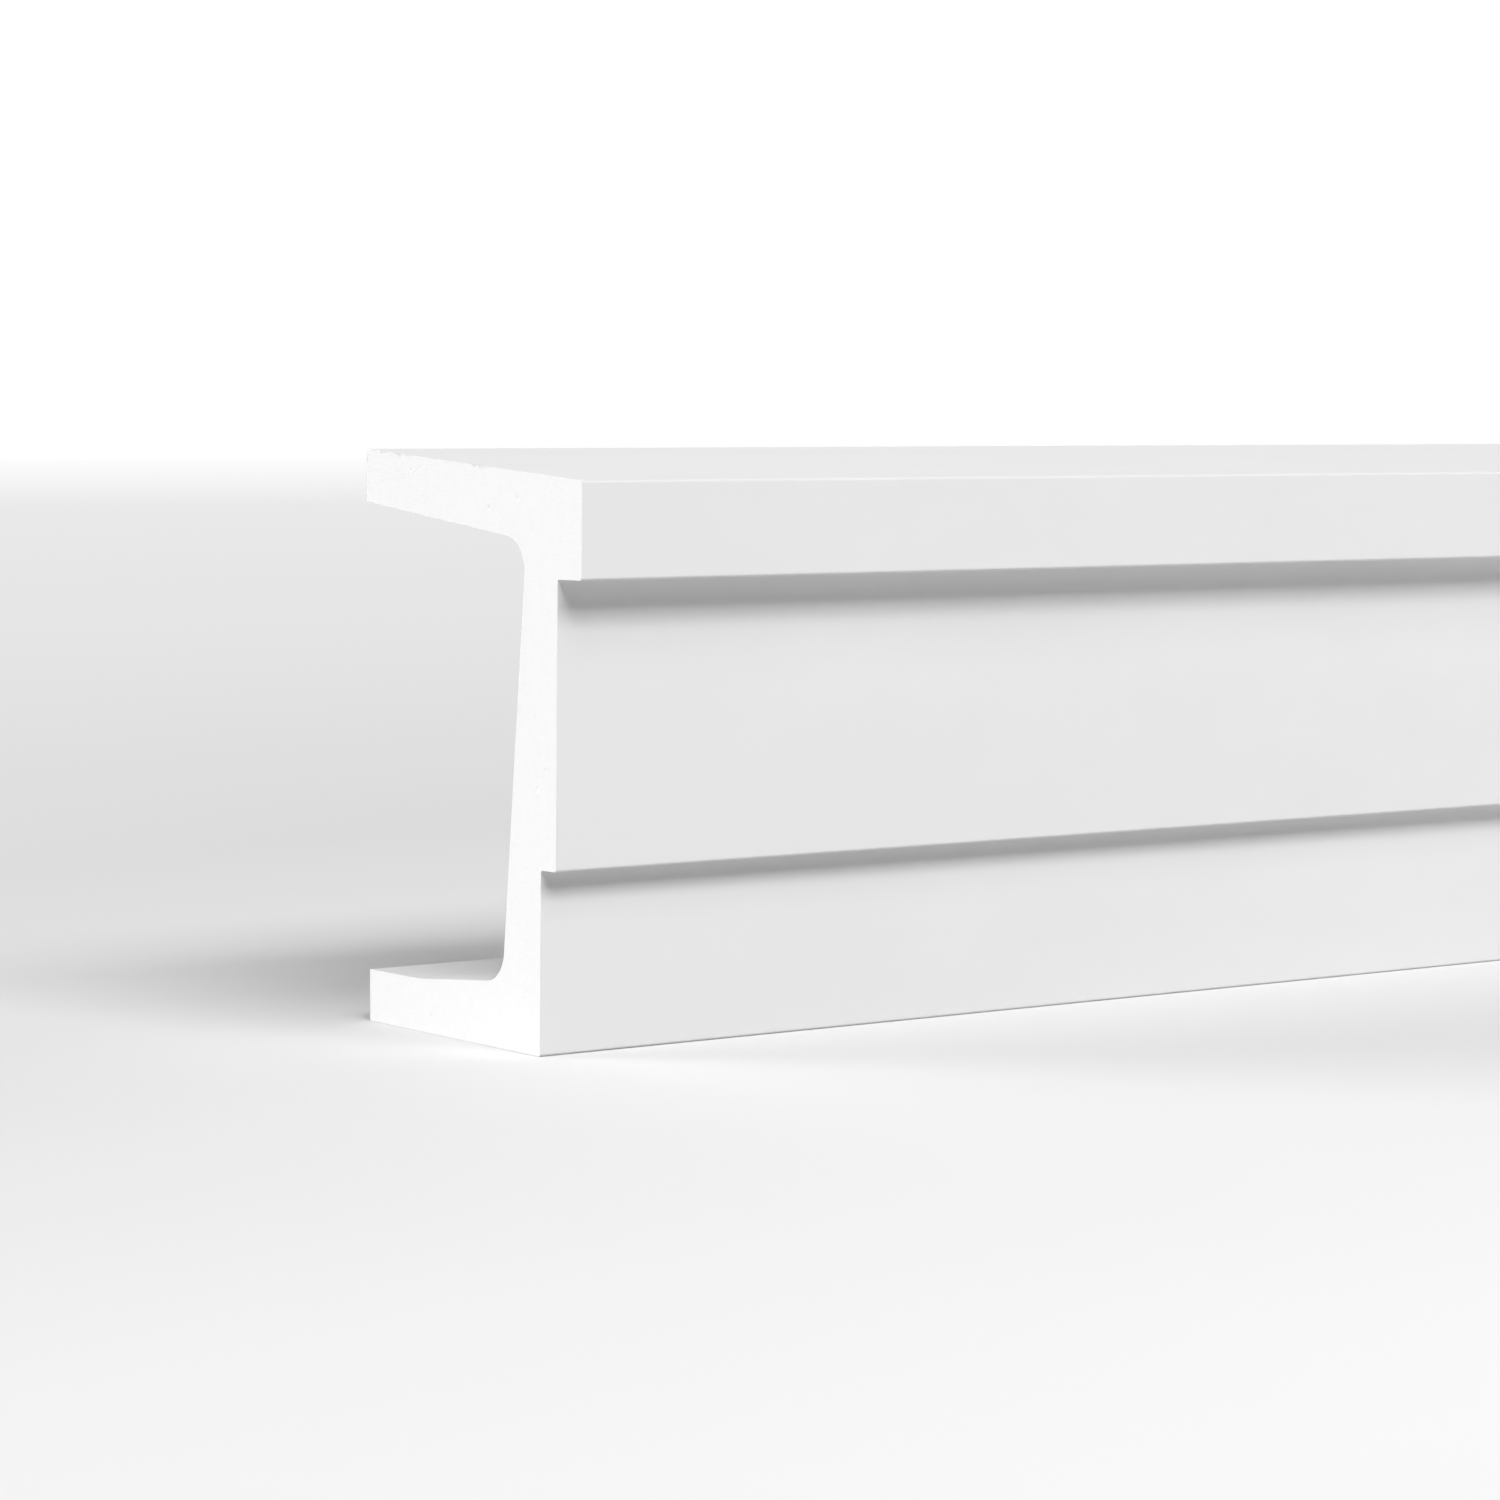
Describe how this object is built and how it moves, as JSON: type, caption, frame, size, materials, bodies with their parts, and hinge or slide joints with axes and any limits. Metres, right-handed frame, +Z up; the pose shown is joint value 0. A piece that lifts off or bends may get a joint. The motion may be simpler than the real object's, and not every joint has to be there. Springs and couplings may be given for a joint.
{
  "type": "architrave moulding",
  "caption": "Straight hollow-backed architrave moulding with a projecting upper band over stepped plain fascias, for fixing to a wall over an opening.",
  "frame": {"origin": "middle of the length and of the depth, on the underside", "axes": "+X along the length, -Y out of the stepped front face, +Y towards the wall, +Z up"},
  "size_m": [2, 0.1353, 0.1999],
  "materials": {
    "white_primed_foam": "matte white primed hard foam"
  },
  "bodies": {
    "root": {"architrave_moulding": "white_primed_foam"}
  },
  "joints": []
}
